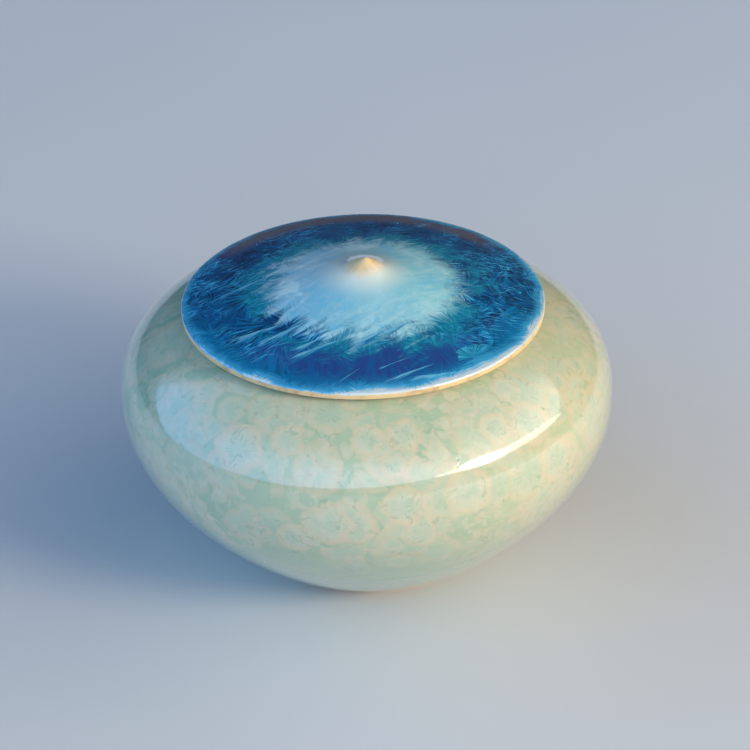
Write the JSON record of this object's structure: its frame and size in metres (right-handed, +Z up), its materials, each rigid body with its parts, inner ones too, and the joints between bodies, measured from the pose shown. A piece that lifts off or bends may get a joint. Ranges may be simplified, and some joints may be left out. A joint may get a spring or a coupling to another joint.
{
  "type": "funeral urn",
  "caption": "Squat round thrown urn with a hollow chamber and a broad, low, pointed lid that lifts off, in crystalline-glazed stoneware.",
  "frame": {"origin": "middle of the foot ring's underside, on the surface the urn stands on", "axes": "+Z up along the vessel's turning axis, -Y towards the pictured side, +X to that view's right"},
  "size_m": [0.24, 0.24, 0.1643],
  "materials": {
    "body_glaze": "glossy mint green glaze with cream crystals, bare clay at the foot ring",
    "lid_glaze": "glossy cobalt blue glaze with needle crystals, pale aqua in the middle, bare tan clay at the tip and on the brim's edge"
  },
  "bodies": {
    "root": {"urn_body": "body_glaze", "lid": "lid_glaze"}
  },
  "joints": []
}
